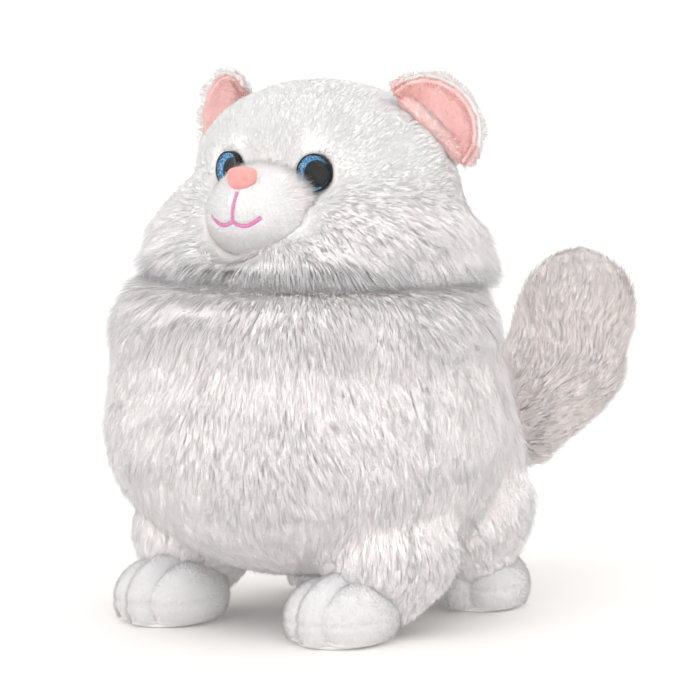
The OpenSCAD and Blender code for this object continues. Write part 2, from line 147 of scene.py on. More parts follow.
def mesh_from(name, points, faces):
    mesh = bpy.data.meshes.new(name)
    mesh.from_pydata([tuple(p) for p in points], [], [tuple(f) for f in faces])
    mesh.update()
    smooth_faces(mesh)
    return mesh


def ring_faces(rows, spokes):
    """Quads between rows of points that each go once round."""
    faces = []
    for k in range(rows - 1):
        for s in range(spokes):
            t = (s + 1) % spokes
            here, there = k * spokes, (k + 1) * spokes
            faces.append((here + s, here + t, there + t, there + s))
    return faces


def weld(mesh, distance):
    """Joins the points that coincide and turns every face outwards."""
    bm = bmesh.new()
    bm.from_mesh(mesh)
    bmesh.ops.remove_doubles(bm, verts=bm.verts, dist=distance)
    bmesh.ops.recalc_face_normals(bm, faces=bm.faces)
    bm.to_mesh(mesh)
    bm.free()
    smooth_faces(mesh)


def triangles_mesh(name, points, triangles, normals, slots):
    """A mesh of many loose triangles with its own shading normals."""
    mesh = bpy.data.meshes.new(name)
    mesh.vertices.add(len(points))
    mesh.vertices.foreach_set("co", np.asarray(points, np.float32).ravel())
    mesh.loops.add(triangles.size)
    mesh.loops.foreach_set("vertex_index", triangles.astype(np.int32).ravel())
    mesh.polygons.add(len(triangles))
    mesh.polygons.foreach_set("loop_start", np.arange(0, triangles.size, 3, dtype=np.int32))
    mesh.polygons.foreach_set("material_index", slots.astype(np.int32))
    mesh.update(calc_edges=True)
    smooth_faces(mesh)
    mesh.normals_split_custom_set_from_vertices(normals.astype(np.float32))
    return mesh


def outer_shell(mesh):
    """Deletes all but the largest connected piece."""
    bm = bmesh.new()
    bm.from_mesh(mesh)
    left = set(bm.verts)
    islands = []
    while left:
        island = set()
        front = [left.pop()]
        while front:
            vert = front.pop()
            island.add(vert)
            for edge in vert.link_edges:
                other = edge.other_vert(vert)
                if other in left:
                    left.discard(other)
                    front.append(other)
        islands.append(island)
    largest = max(islands, key=len)
    bmesh.ops.delete(bm, geom=[v for v in bm.verts if v not in largest], context="VERTS")
    bm.to_mesh(mesh)
    bm.free()
    mesh.update()


def relax(obj, times):
    """Evens a surface out."""
    smooth = obj.modifiers.new("smooth", "SMOOTH")
    smooth.factor = 0.5
    smooth.iterations = times
    settle(obj)
    smooth_faces(obj.data)


def union(name, nodes, voxel, smoothing):
    """One smooth closed skin round these CAD nodes."""
    bm = bmesh.new()
    for node in nodes:
        bm.from_mesh(NODES[node].data)
    mesh = bpy.data.meshes.new(name)
    bm.to_mesh(mesh)
    bm.free()
    mesh.materials.clear()
    obj = add_object(name, mesh)
    remesh = obj.modifiers.new("remesh", "REMESH")
    remesh.mode = "VOXEL"
    remesh.voxel_size = voxel
    settle(obj)
    outer_shell(obj.data)
    relax(obj, smoothing)
    return obj


def draw_in(skin, depth, level):
    """Moves a skin in from the fur tips by depth. Level is how much a point keeps its height."""
    points = coords(skin.data)
    step = -vertex_normals(skin.data) * depth[:, None]
    step[:, 2] *= 1 - level
    set_coords(skin.data, points + step)
    relax(skin, 3)


# The filling

CLOTH_FRAMES = 20
CLOTH_PRESSURE = 4
ROOM = 0.8 * MM             # what the filling pushes a cover out on the whole


def stuff(obj, most):
    """The filling pushes the cover out, by at most this much at each point."""
    start, normals = coords(obj.data), vertex_normals(obj.data)
    cloth = obj.modifiers.new("cover", "CLOTH")
    cloth.settings.use_pressure = True
    cloth.settings.uniform_pressure_force = CLOTH_PRESSURE
    cloth.settings.effector_weights.gravity = 0
    for number in range(1, CLOTH_FRAMES + 1):
        bpy.context.scene.frame_set(number)
    graph = bpy.context.evaluated_depsgraph_get()
    moved = coords(obj.evaluated_get(graph).data) - start
    obj.modifiers.clear()
    bpy.context.scene.frame_set(1)
    moved += normals * (ROOM - (moved * normals).sum(1).mean())
    size = np.linalg.norm(moved, axis=1)
    share = np.minimum(size, most) / np.maximum(size, 1e-9)
    set_coords(obj.data, start + moved * share[:, None])


def subdivide(obj):
    obj.modifiers.new("subdivide", "SUBSURF").levels = 1
    settle(obj)
    smooth_faces(obj.data)


# Materials

def new_material(name):
    material = bpy.data.materials.new(name)
    material.use_nodes = True
    return material, material.node_tree, material.node_tree.nodes["Principled BSDF"]


def noise_node(tree, scale, detail=3.0):
    place = tree.nodes.new("ShaderNodeTexCoord")
    noise = tree.nodes.new("ShaderNodeTexNoise")
    noise.inputs["Scale"].default_value = scale
    noise.inputs["Detail"].default_value = detail
    tree.links.new(place.outputs["Object"], noise.inputs["Vector"])
    return noise


def ranged(tree, source, low, high):
    """A node that turns 0 to 1 into low to high."""
    spread = tree.nodes.new("ShaderNodeMapRange")
    spread.inputs["To Min"].default_value = low
    spread.inputs["To Max"].default_value = high
    tree.links.new(source, spread.inputs["Value"])
    return spread.outputs["Result"]


def shaded(tree, source, shader, pale, deep, start=0.0, end=1.0):
    """Colours the shader from the deep shade to the pale one, and gives back the ramp."""
    shades = tree.nodes.new("ShaderNodeValToRGB")
    first, last = shades.color_ramp.elements
    first.position, last.position = start, end
    first.color, last.color = (*deep, 1), (*pale, 1)
    tree.links.new(source, shades.inputs["Fac"])
    tree.links.new(shades.outputs["Color"], shader.inputs["Base Color"])
    return shades.color_ramp


SEEP = 2.5 * MM             # how far light seeps from fibre to fibre
SEEP_COLOURS = (1.0, 0.9, 0.85)


def pile_material(name, colour, rough=(0.75, 0.95), sheen=0.25, glow=0.0):
    """Faux fur fibres of one colour, whose gloss varies from lock to lock."""
    material, tree, shader = new_material(name)
    shader.subsurface_method = "BURLEY"
    shader.inputs["Subsurface Weight"].default_value = 0.85
    shader.inputs["Subsurface Radius"].default_value = SEEP_COLOURS
    shader.inputs["Subsurface Scale"].default_value = SEEP
    shader.inputs["Base Color"].default_value = (*colour, 1)
    shader.inputs["Sheen Weight"].default_value = sheen
    shader.inputs["Specular IOR Level"].default_value = 0.25
    # The glow is painted light that lifts the shade between the fibres.
    shader.inputs["Emission Color"].default_value = (*colour, 1)
    shader.inputs["Emission Strength"].default_value = glow
    noise = noise_node(tree, 90)
    tree.links.new(ranged(tree, noise.outputs["Fac"], *rough), shader.inputs["Roughness"])
    return material


def cloth_material(name, pale, deep, scale=60, weave=900, glow=0.0):
    """Backing cloth or short plush, mottled between two shades with a fine grain."""
    material, tree, shader = new_material(name)
    shaded(tree, noise_node(tree, scale).outputs["Fac"], shader, pale, deep, 0.35, 0.65)
    grain = noise_node(tree, weave, 4)
    height = tree.nodes.new("ShaderNodeBump")
    height.inputs["Strength"].default_value = 0.3
    height.inputs["Distance"].default_value = 0.4 * MM
    tree.links.new(grain.outputs["Fac"], height.inputs["Height"])
    tree.links.new(height.outputs["Normal"], shader.inputs["Normal"])
    tree.links.new(ranged(tree, grain.outputs["Fac"], 0.8, 0.95), shader.inputs["Roughness"])
    shader.inputs["Sheen Weight"].default_value = 0.3
    shader.inputs["Specular IOR Level"].default_value = 0.2
    # The glow is painted light.
    shader.inputs["Emission Color"].default_value = (*pale, 1)
    shader.inputs["Emission Strength"].default_value = glow
    return material


def moulded_material(name, pale, deep, roughness, scale=300, shine=0.5):
    """Moulded plastic with faint unevenness in colour and gloss."""
    material, tree, shader = new_material(name)
    noise = noise_node(tree, scale)
    shaded(tree, noise.outputs["Fac"], shader, pale, deep)
    shader.inputs["Specular IOR Level"].default_value = shine
    tree.links.new(
        ranged(tree, noise.outputs["Fac"], 0.8 * roughness, 1.2 * roughness),
        shader.inputs["Roughness"],
    )
    return material


GLITTER_BLUES = {0.3: (0.02, 0.22, 0.60), 0.6: (0.06, 0.46, 0.90), 0.85: (0.30, 0.75, 1.0)}


def glitter_material(name):
    """Blue glitter film: flakes of many brightnesses, the palest of them painted sparkle."""
    material, tree, shader = new_material(name)
    place = tree.nodes.new("ShaderNodeTexCoord")
    flakes = tree.nodes.new("ShaderNodeTexVoronoi")
    flakes.inputs["Scale"].default_value = 1900
    tree.links.new(place.outputs["Object"], flakes.inputs["Vector"])
    pick = tree.nodes.new("ShaderNodeSeparateColor")
    tree.links.new(flakes.outputs["Color"], pick.inputs["Color"])
    # The pale end of the ramp is painted sparkle.
    ramp = shaded(tree, pick.outputs[0], shader, (0.75, 0.93, 1.0), (0.01, 0.08, 0.25))
    for share, colour in GLITTER_BLUES.items():
        ramp.elements.new(share).color = (*colour, 1)
    tree.links.new(ranged(tree, pick.outputs[1], 0.15, 0.5), shader.inputs["Roughness"])
    shader.inputs["Metallic"].default_value = 0.35
    return material


def clear_material(name):
    material, tree, shader = new_material(name)
    shader.inputs["Base Color"].default_value = (1, 1, 1, 1)
    shader.inputs["Transmission Weight"].default_value = 1
    shader.inputs["IOR"].default_value = 1.03
    shader.inputs["Coat Weight"].default_value = 0.4
    noise = noise_node(tree, 60)
    tree.links.new(ranged(tree, noise.outputs["Fac"], 0.0, 0.03), shader.inputs["Roughness"])
    return material


FUR_GLOW = 0.04             # painted light: a glow that stands in for light the fibres pass on many times over
# Each root material is a shade darker and warmer than its tip: painted shade deep in the pile.
FUR_TIP = pile_material("fur_tip", (0.895, 0.89, 0.905), glow=FUR_GLOW)
FUR_ROOT = pile_material("fur_root", (0.885, 0.87, 0.865), sheen=0.1, glow=FUR_GLOW)
FUR = (FUR_ROOT, FUR_TIP)
# Darker copies of the fur for the short locks round the face: painted shade that short fur does not
# cast on itself.
FACE_TIP_SHADED = pile_material("face_fur_tip_shaded", (0.79, 0.795, 0.80), glow=FUR_GLOW)
FACE_ROOT_SHADED = pile_material("face_fur_root_shaded", (0.77, 0.765, 0.765), sheen=0.1, glow=FUR_GLOW)
# Darker, warmer copies of the fur for the tail: painted shade where less light reaches it.
TAIL_TIP_SHADED = pile_material("tail_fur_tip_shaded", (0.785, 0.755, 0.75), glow=FUR_GLOW)
TAIL_ROOT_SHADED = pile_material("tail_fur_root_shaded", (0.77, 0.74, 0.73), sheen=0.1, glow=FUR_GLOW)
# The glow given to the short pile and the plush below is painted light that lifts their shade.
FUZZ = pile_material("short_pile", (0.88, 0.87, 0.88), glow=0.08)
PINK_TIP = pile_material("pink_pile", (0.97, 0.68, 0.66), glow=0.12)
# A darker, deeper pink for the fold at the ear's root: painted shade.
PINK_SHADED = pile_material("pink_pile_shaded", (0.95, 0.50, 0.44), glow=0.08)
BACKING = cloth_material("fur_backing", (0.93, 0.91, 0.90), (0.87, 0.84, 0.82))
VELBOA = cloth_material(
    "short_plush", (0.96, 0.95, 0.955), (0.93, 0.92, 0.92), scale=90, glow=0.07)
PINK = cloth_material("ear_plush", (0.97, 0.71, 0.69), (0.96, 0.62, 0.59), scale=70, glow=0.18)
THREAD = cloth_material(
    "white_thread", (0.93, 0.91, 0.91), (0.88, 0.86, 0.85), scale=900, weave=2500)
MOUTH_THREAD = cloth_material(
    "mouth_thread", (0.90, 0.38, 0.62), (0.80, 0.22, 0.48), scale=1500, weave=2500)
NOSE = moulded_material("nose_flock", (0.95, 0.42, 0.38), (0.90, 0.34, 0.31), 0.55, scale=500)
BLACK = moulded_material(
    "eye_black", (0.006, 0.006, 0.008), (0.002, 0.002, 0.003), 0.25, shine=0.25)
GLITTER = glitter_material("eye_glitter")
CLEAR = clear_material("eye_clear")
WASHER = moulded_material("washer", (0.85, 0.85, 0.84), (0.75, 0.75, 0.74), 0.5)


# Fur: every fibre lock is a tapered ribbon that starts in the skin

def scatter(obj, per_cm2, seed):
    """Even random roots on a skin: points, normals and a generator for what follows."""
    rng = np.random.default_rng(seed)
    mesh = obj.data
    mesh.calc_loop_triangles()
    corners = np.empty(len(mesh.loop_triangles) * 3, np.int32)
    mesh.loop_triangles.foreach_get("vertices", corners)
    corners = corners.reshape(-1, 3)
    points, normals = coords(mesh), vertex_normals(mesh)
    a, b, c = (points[corners[:, i]] for i in range(3))
    area = np.linalg.norm(np.cross(b - a, c - a), axis=1) / 2
    count = int(area.sum() * 1e4 * per_cm2)
    pick = corners[rng.choice(len(corners), count, p=area / area.sum())]
    first, second = np.sqrt(rng.random(count)), rng.random(count)
    share = np.stack([1 - first, first * (1 - second), first * second], 1)[:, :, None]
    return (points[pick] * share).sum(1), unit((normals[pick] * share).sum(1)), rng


LOCK_BEND = 0.5             # share of a lock's length at which it is widest and bends
LOCK_FACES = np.array([[0, 2, 1], [1, 2, 3]])
LOCK_DEPTH = 0.8 * MM       # from the skin in to a lock's root
LOCK_GROUP = 16             # locks that lean towards one leader
LOCK_CLUMP = 0.1            # how far they lean towards it
LOCK_MESS = 0.07            # how far each strays from the flow
PANEL = 98000               # most locks in one piece


def clump_leads(points):
    """For each root the nearest leader, which is one root in every group's worth."""
    leads = np.arange(0, len(points), LOCK_GROUP)
    tree = kdtree.KDTree(len(leads))
    for lead in leads:
        tree.insert(points[lead], int(lead))
    tree.balance()
    return np.array([tree.find(p)[1] for p in points], int)


def fur(name, body, roots, normals, flow, length, rng, width=0.5 * MM, lift=0.4, tip_lift=0.1,
        materials=FUR, second=None):
    """Fibre locks from these roots, in one or more panels from front to back.

    Materials are those of each lock's lower and upper half, and then of a second kind of lock.
    """
    count = len(roots)
    length = (length * rng.uniform(0.75, 1.1, count))[:, None]
    stray = rng.normal(0, LOCK_MESS, (count, 3))
    lift = np.broadcast_to(lift, count)[:, None]
    low_way = unit(flow * (1 - lift) + normals * lift + stray)
    high_way = unit(0.35 * low_way + 0.65 * unit(flow + normals * tip_lift + 1.3 * stray))
    lead = clump_leads(roots)
    root = roots - LOCK_DEPTH * normals
    bend = root + low_way * length * LOCK_BEND
    tip = bend + high_way * length * (1 - LOCK_BEND)
    bend += (bend[lead] - bend) * LOCK_CLUMP * LOCK_BEND ** 1.5
    tip += (tip[lead] - tip) * LOCK_CLUMP
    way = unit(tip - root)
    side = unit(np.cross(way, normals))
    roll = rng.normal(0, 0.2, count)[:, None]
    side = unit(side * np.cos(roll) + np.cross(way, side) * np.sin(roll))
    wide = (width * rng.uniform(0.7, 1.3, count))[:, None] / 2
    points = np.stack([root, bend - side * wide, bend + side * wide, tip], 1)
    shade = np.repeat(unit(0.8 * normals + 0.2 * unit(np.cross(side, way)))[:, None], 4, 1)
    from_front = np.argsort(roots[lead, 1], kind="stable")
    panels = np.array_split(from_front, math.ceil(count / PANEL))
    for number, panel in enumerate(panels, 1):
        triangles = (LOCK_FACES[None] + 4 * np.arange(len(panel))[:, None, None]).reshape(-1, 3)
        slots = np.tile([0, 1], len(panel))
        if second is not None:
            slots += 2 * np.repeat(second[panel], 2)
        label = f"{name}_{number}" if len(panels) > 1 else name
        mesh = triangles_mesh(
            label, points[panel].reshape(-1, 3), triangles, shade[panel].reshape(-1, 3), slots)
        obj = add_object(label, mesh, *materials)
        place_piece(obj, body, "long_pile_white")


def fuzz(name, body, roots, normals, flow, length, rng, width=0.35 * MM, lean=0.6,
         materials=(FUZZ,), deep=None, slot="short_pile_white"):
    """Short pile: one thin blade a fibre. Deep says which blades take the second material."""
    count = len(roots)
    way = unit(normals + lean * flow + rng.normal(0, 0.25, (count, 3)))
    tall = (length * rng.uniform(0.6, 1.2, count))[:, None]
    side = unit(np.cross(way, normals) + rng.normal(0, 0.4, (count, 3)) * 0.5) * width / 2
    low = roots - 0.3 * MM * normals
    points = np.stack([low - side, low + side, low + way * tall], 1).reshape(-1, 3)
    shade = np.repeat(unit(normals + 0.2 * rng.normal(0, 1, (count, 3))), 3, 0)
    triangles = np.arange(3 * count).reshape(-1, 3)
    slots = np.zeros(count) if deep is None else deep.astype(int)
    mesh = triangles_mesh(name, points, triangles, shade, slots)
    place_piece(add_object(name, mesh, *materials), body, slot)


def in_egg(points, centre, size, grow=0.0):
    """True for points inside an egg of this centre and size, larger all round by grow."""
    return (((points - centre) / (size / 2 + grow)) ** 2).sum(-1) < 1


# Eggs that the CAD makes, found again from its boxes

MUZZLE_LENGTH = 50 * MM
MUZZLE_HEIGHT = 50 * MM     # the ruff hides its lower end


def muzzle_egg():
    low, high = corners("muzzle_cover")
    size = np.array([high[0] - low[0], MUZZLE_LENGTH, MUZZLE_HEIGHT])
    return np.array([0, low[1] + size[1] / 2, high[2] - size[2] / 2]), size


PAW_LENGTH = {"forepaw": 68 * MM, "hindpaw": 56 * MM}
PAW_HEIGHT = {"forepaw": 46 * MM, "hindpaw": 44 * MM}
PAW_TOP = {"forepaw": 36 * MM, "hindpaw": 34 * MM}


def paw_egg(kind, side):
    low, high = corners(f"{kind}_{side}_cover")
    size = np.array([high[0] - low[0], PAW_LENGTH[kind], PAW_HEIGHT[kind]])
    centre = [(low[0] + high[0]) / 2, low[1] + size[1] / 2, PAW_TOP[kind] - size[2] / 2]
    return np.array(centre), size


MUZZLE_AT, MUZZLE_SIZE = muzzle_egg()
PAWS = {(kind, side): paw_egg(kind, side) for kind in PAW_LENGTH for side in SIDES}
EYE_AT = {side: sum(corners(f"eye_{side}_glitter")) / 2 for side in SIDES}
EYE_YAW = math.radians(10)
EYE_R = 10 * MM


# Body and legs

LEGS = [f"{leg}_{side}" for leg in ("foreleg", "thigh") for side in SIDES]
PUFF = 2.5 * MM             # how far the filling may push a cover out
BODY_PILE = 4.0 * MM        # from the skin to the fur tips, with the fur lying down
LEG_PILE = 2.5 * MM
CREASE = 12 * MM            # covers keep their height this near the neck
NECK_BARE = 66 * MM         # no fur grows this near the neck's axis, between head and body
FUR_WIDTH = 0.38 * MM


def by_neck(points):
    """1 in the part of the body's skin beside the neck, 0 below it."""
    return smoothstep(NECK[2] - CREASE, NECK[2] - 3 * MM, points[:, 2])


def make_body():
    nodes = ["torso_front_cover", "torso_back_cover", "belly_cover", "torso_stuffing",
             "neck_stuffing", "tail_root_stuffing"]
    nodes += [f"{leg}_{part}" for leg in LEGS for part in ("cover", "stuffing")]
    skin = union("body_skin", nodes, 4.5 * MM, 10)
    points = coords(skin.data)
    leg = 1 - smoothstep(35 * MM, 70 * MM, points[:, 2])
    low = smoothstep(6 * MM, 16 * MM, points[:, 2])
    full = smoothstep(NECK[2] - 40 * MM, NECK[2] - 12 * MM, points[:, 2])
    pile = (BODY_PILE + (LEG_PILE - BODY_PILE) * leg) * low * (1 - full)
    draw_in(skin, pile + ROOM, np.maximum(by_neck(points), 1 - low))
    stuff(skin, PUFF * (1 - by_neck(coords(skin.data))))
    subdivide(skin)
    skin.data.materials.append(BACKING)
    place_piece(skin, "torso", "long_pile_white",
                "torso_front_cover", "torso_back_cover", "belly_cover", "torso_stuffing",
                *[f"{leg}_cover" for leg in LEGS], *[f"{leg}_stuffing" for leg in LEGS],
                fill=0.85)
    return skin


def in_neck(points):
    """True within the neck's width, at any height."""
    return np.hypot(points[:, 0] - NECK[0], points[:, 1] - NECK[1]) < NECK_BARE


def body_fur(skin):
    roots, normals, rng = scatter(skin, 160, 11)
    keep = ~(in_neck(roots) & (roots[:, 2] > NECK[2] - 12 * MM))
    keep &= roots[:, 2] > 10 * MM
    for centre, size in PAWS.values():
        keep &= ~in_egg(roots, centre, size, 1 * MM)
    keep &= np.linalg.norm(roots - TAIL, axis=1) > 17 * MM
    roots, normals = roots[keep], normals[keep]
    outwards = unit((roots - [NECK[0], NECK[1], 0]) * [1, 1, 0])
    swirl = wobble(roots, 60 * MM, 3)[:, None] * np.cross(normals, UP)
    rim = smoothstep(NECK[2] - 20 * MM, NECK[2], roots[:, 2])[:, None]
    flow = along_surface(outwards * (0.3 + 1.2 * rim) - UP + 0.25 * swirl + [0, 0.12, 0], normals)
    leg = 1 - smoothstep(40 * MM, 72 * MM, roots[:, 2])
    under = smoothstep(0.3, 0.8, -normals[:, 2])
    length = (16.5 - 5.5 * leg + 1.2 * wobble(roots, 35 * MM, 4)) * MM
    belly = under * (np.abs(roots[:, 0]) < 40 * MM)
    length *= 1 - 0.3 * (1 - smoothstep(22 * MM, 45 * MM, roots[:, 2])) * (1 - belly)
    lift = 0.34 - 0.02 * leg + 0.04 * wobble(roots, 25 * MM, 5) - 0.05 * rim[:, 0]
    fur("body_fur", "torso", roots, normals, flow, length, rng, lift=lift, width=FUR_WIDTH)


# Head

FACE_PILE = 1.0 * MM
CHEEK_PILE = 6.5 * MM


def lowness(points):
    """1 at the cheeks and the ruff, 0 at the forehead and the crown."""
    return 1 - smoothstep(205 * MM, 245 * MM, points[:, 2])


def by_face(points):
    """1 beside the eyes and the muzzle, 0 away from them."""
    near = in_egg(points, MUZZLE_AT, MUZZLE_SIZE, 3 * MM).astype(float)
    for at in EYE_AT.values():
        away = np.linalg.norm(points - at, axis=1)
        near = np.maximum(near, 1 - smoothstep(12 * MM, 24 * MM, away))
    return near


def eye_axis(side):
    return np.array([math.sin(EYE_YAW) * SIDES[side], -math.cos(EYE_YAW), 0])


def clear_eyes(skin):
    """Hold the skin behind each eye's rim."""
    points = coords(skin.data)
    for side, at in EYE_AT.items():
        axis = eye_axis(side)
        depth = (points - at) @ axis
        off = np.linalg.norm(points - at - depth[:, None] * axis, axis=1)
        most = (-7 + 5.5 * smoothstep(EYE_R - 2.5 * MM, EYE_R, off)
                + 8 * smoothstep(EYE_R, EYE_R + 7 * MM, off)) * MM
        near = (off < EYE_R + 7 * MM) & (depth > -20 * MM)
        too_far = np.where(near, np.maximum(depth - most, 0), 0)
        points = points - too_far[:, None] * axis
    set_coords(skin.data, points)


def clear_muzzle(skin):
    """Hold the skin behind the muzzle's front."""
    points = coords(skin.data)
    half = MUZZLE_SIZE / 2
    room = np.clip(1 - ((points - MUZZLE_AT)[:, [0, 2]] ** 2 / half[[0, 2]] ** 2).sum(1), 0, 1)
    front = MUZZLE_AT[1] - half[1] * np.sqrt(room) + 2.5 * MM
    front_half = points[:, 1] < MUZZLE_AT[1]
    too_far = np.maximum(front - points[:, 1], 0) * smoothstep(0.0, 0.3, room)
    points[:, 1] += np.where(front_half, too_far, 0)
    set_coords(skin.data, points)


def over_neck(points):
    """1 in the part of the head's skin beside the neck, 0 above it."""
    return 1 - smoothstep(NECK[2] + 8 * MM, NECK[2] + 20 * MM, points[:, 2])


def make_head():
    nodes = ["head_front_cover", "head_back_cover", "head_stuffing", "neck_stuffing",
             "nose_washer"]
    nodes += [f"eye_{side}_{part}" for side in SIDES for part in ("base", "washer")]
    skin = union("head_skin", nodes, 4 * MM, 6)
    points = coords(skin.data)
    pile = (FACE_PILE + (CHEEK_PILE - FACE_PILE) * lowness(points)) * (1 - 0.6 * by_face(points))
    pile *= smoothstep(NECK[2] + 20 * MM, NECK[2] + 48 * MM, points[:, 2])
    puff = ROOM * (1 - by_face(points))
    draw_in(skin, pile + puff, over_neck(points))
    points = coords(skin.data)
    stuff(skin, PUFF * (1 - by_face(points)) * (1 - over_neck(points)))
    subdivide(skin)
    clear_eyes(skin)
    clear_muzzle(skin)
    skin.data.materials.append(BACKING)
    place_piece(skin, "head", "long_pile_white",
                "head_front_cover", "head_back_cover", "head_stuffing", fill=0.85)
    return skin


def head_fur(skin):
    roots, normals, rng = scatter(skin, 180, 21)
    keep = ~(in_neck(roots) & (roots[:, 2] < NECK[2] + 14 * MM))
    keep &= ~in_egg(roots, MUZZLE_AT, MUZZLE_SIZE, -1.5 * MM)
    eye_away = np.ones(len(roots))
    for side, at in EYE_AT.items():
        axis = eye_axis(side)
        off = roots - at
        off = off - (off @ axis)[:, None] * axis
        ahead = (roots - at) @ axis > -12 * MM
        eye_away = np.minimum(eye_away, np.where(ahead, np.linalg.norm(off, axis=1), 1.0))
    keep &= eye_away > EYE_R - 0.3 * MM
    roots, normals, eye_away = roots[keep], normals[keep], eye_away[keep]
    face = MUZZLE_AT + [0, -6 * MM, 4 * MM]
    low = lowness(roots)
    back = smoothstep(-50 * MM, -15 * MM, roots[:, 1])
    flow = unit(roots - face) * [1, 1, 0.9] - UP * (0.25 + 0.5 * low + 1.1 * back)[:, None]
    flow += UP * (0.5 * (1 - low) * (1 - back))[:, None]
    flow += 0.25 * wobble(roots, 45 * MM, 6)[:, None] * np.cross(normals, UP)
    flow = along_surface(flow, normals)
    from_muzzle = np.linalg.norm((roots - MUZZLE_AT) / (MUZZLE_SIZE / 2), axis=1) - 1
    clear = smoothstep(0.0, 0.7, from_muzzle)
    by_eye = smoothstep(EYE_R, EYE_R + 16 * MM, eye_away)
    length = (6.0 + 3.0 * back + 10.5 * low * clear) * MM
    length *= 0.45 + 0.55 * np.minimum(by_eye, 0.3 + 0.7 * clear)
    length += 0.8 * MM * wobble(roots, 25 * MM, 7)
    lift = 0.30 + 0.16 * low * clear + 0.06 * back
    rim = 1 - smoothstep(NECK[2], NECK[2] + 20 * MM, roots[:, 2])
    length *= 1 + 0.6 * rim
    flow = along_surface(flow - 0.8 * rim[:, None] * UP, normals)
    # Short locks take the darker face copies of the fur: painted shade.
    short = rng.random(len(roots)) > smoothstep(7 * MM, 15 * MM, length)
    fur("head_fur", "head", roots, normals, flow, length, rng, lift=lift, width=FUR_WIDTH,
        materials=(FUR_ROOT, FUR_TIP, FACE_ROOT_SHADED, FACE_TIP_SHADED), second=short)


# Muzzle, nose, mouth

def egg_object(name, centre, size, detail, material):
    bm = bmesh.new()
    bmesh.ops.create_icosphere(bm, subdivisions=detail, radius=1)
    mesh = bpy.data.meshes.new(name)
    bm.to_mesh(mesh)
    bm.free()
    set_coords(mesh, coords(mesh) * size / 2 + centre)
    smooth_faces(mesh)
    return add_object(name, mesh, material)


MOUTH_TOP = 0.25            # shares of the muzzle's height, from its middle
MOUTH_LOW = -0.05
MOUTH_HALF = 16 * MM
MOUTH_DIP = 2.5 * MM
MOUTH_RISE = 2.6 * MM


def mouth_paths():
    """The upright line and the curve, as rows of x and z."""
    top = MUZZLE_AT[2] + MOUTH_TOP * MUZZLE_SIZE[2]
    low = MUZZLE_AT[2] + MOUTH_LOW * MUZZLE_SIZE[2]
    upright = np.array([[0, z] for z in np.linspace(top, low, 24)])
    u = np.linspace(-1, 1, 68)
    bow = low - MOUTH_DIP * np.sin(np.pi * np.abs(u)) + MOUTH_RISE * u ** 2
    return upright, np.stack([u * MOUTH_HALF, bow], 1)


def make_muzzle():
    skin = egg_object("muzzle_skin", MUZZLE_AT, MUZZLE_SIZE - 1.2 * MM, 6, VELBOA)
    points = coords(skin.data)
    normals = unit((points - MUZZLE_AT) / (MUZZLE_SIZE / 2) ** 2)
    front = smoothstep(0.0, 0.6, -normals[:, 1])
    push = np.zeros(len(points))
    for path in mouth_paths():
        for x, z in path[::3]:
            away = np.hypot(points[:, 0] - x, points[:, 2] - z)
            push = np.minimum(push, -0.9 * MM * np.exp(-(away / (2.2 * MM)) ** 2))
    for x in (-1, 1):
        sideways, upwards = points[:, 0] - 14 * MM * x, points[:, 2] - MUZZLE_AT[2] - 1 * MM
        away = np.hypot(sideways / 13, upwards / 11) / MM
        push += 1.1 * MM * np.exp(-away ** 2)
    set_coords(skin.data, points + normals * (push * front)[:, None])
    place_piece(skin, "head", "short_pile_white", "muzzle_cover", fill=0.9)
    return skin


def muzzle_fuzz(skin):
    roots, normals, rng = scatter(skin, 500, 31)
    keep = normals[:, 1] < 0.45
    for x, z in np.concatenate(mouth_paths())[::2]:
        keep &= np.hypot(roots[:, 0] - x, roots[:, 2] - z) > 0.9 * MM
    roots, normals = roots[keep], normals[keep]
    flow = along_surface(roots - (MUZZLE_AT + [0, -30 * MM, 12 * MM]), normals)
    length = (2.0 + 6.0 * smoothstep(-0.5, 0.1, normals[:, 1])) * MM
    fuzz("muzzle_fuzz", "head", roots, normals, flow, length, rng, lean=1.0)


TUBE_SIDES = 6


def tube_along(points, radius):
    """A closed tube along a few points: vertices and faces."""
    points = np.asarray(points, float)
    way = unit(np.gradient(points, axis=0))
    helper = np.array([0.3, 0.5, 0.8])
    a = unit(np.cross(way, helper))
    b = np.cross(way, a)
    angles = np.linspace(0, 2 * np.pi, TUBE_SIDES, endpoint=False)
    ring = a[:, None] * np.cos(angles)[None, :, None] + b[:, None] * np.sin(angles)[None, :, None]
    verts = (points[:, None] + ring * np.asarray(radius).reshape(-1, 1, 1)).reshape(-1, 3)
    faces = ring_faces(len(points), TUBE_SIDES)
    faces.append(tuple(reversed(range(TUBE_SIDES))))
    faces.append(tuple(range(len(verts) - TUBE_SIDES, len(verts))))
    return verts, faces


def make_stitches(name, bars, material, body, slot, node):
    """Short threads, each given by its points and radii, as one piece for one CAD node."""
    verts, faces = [], []
    for points, radius in bars:
        new_verts, new_faces = tube_along(points, radius)
        start = len(verts)
        verts.extend(new_verts)
        faces.extend(tuple(start + i for i in face) for face in new_faces)
    place_piece(add_object(name, mesh_from(name, verts, faces), material), body, slot, node)


def surface_point(tree, start, way, height):
    """Where a ray first meets a surface, and then this height off it."""
    hit, normal, _, _ = tree.ray_cast(Vector(start), Vector(way))
    return np.array(hit) + np.array(normal) * height


def surface_of(obj):
    return BVHTree.FromObject(obj, bpy.context.evaluated_depsgraph_get())


IN_FRONT = -0.5             # a place well ahead of the cat
SATIN_WIDTH = 2.0 * MM
SATIN_SLANT = 0.35
BAR_ROUND = np.array([0.25, 0.8, 1.0, 0.8, 0.25])


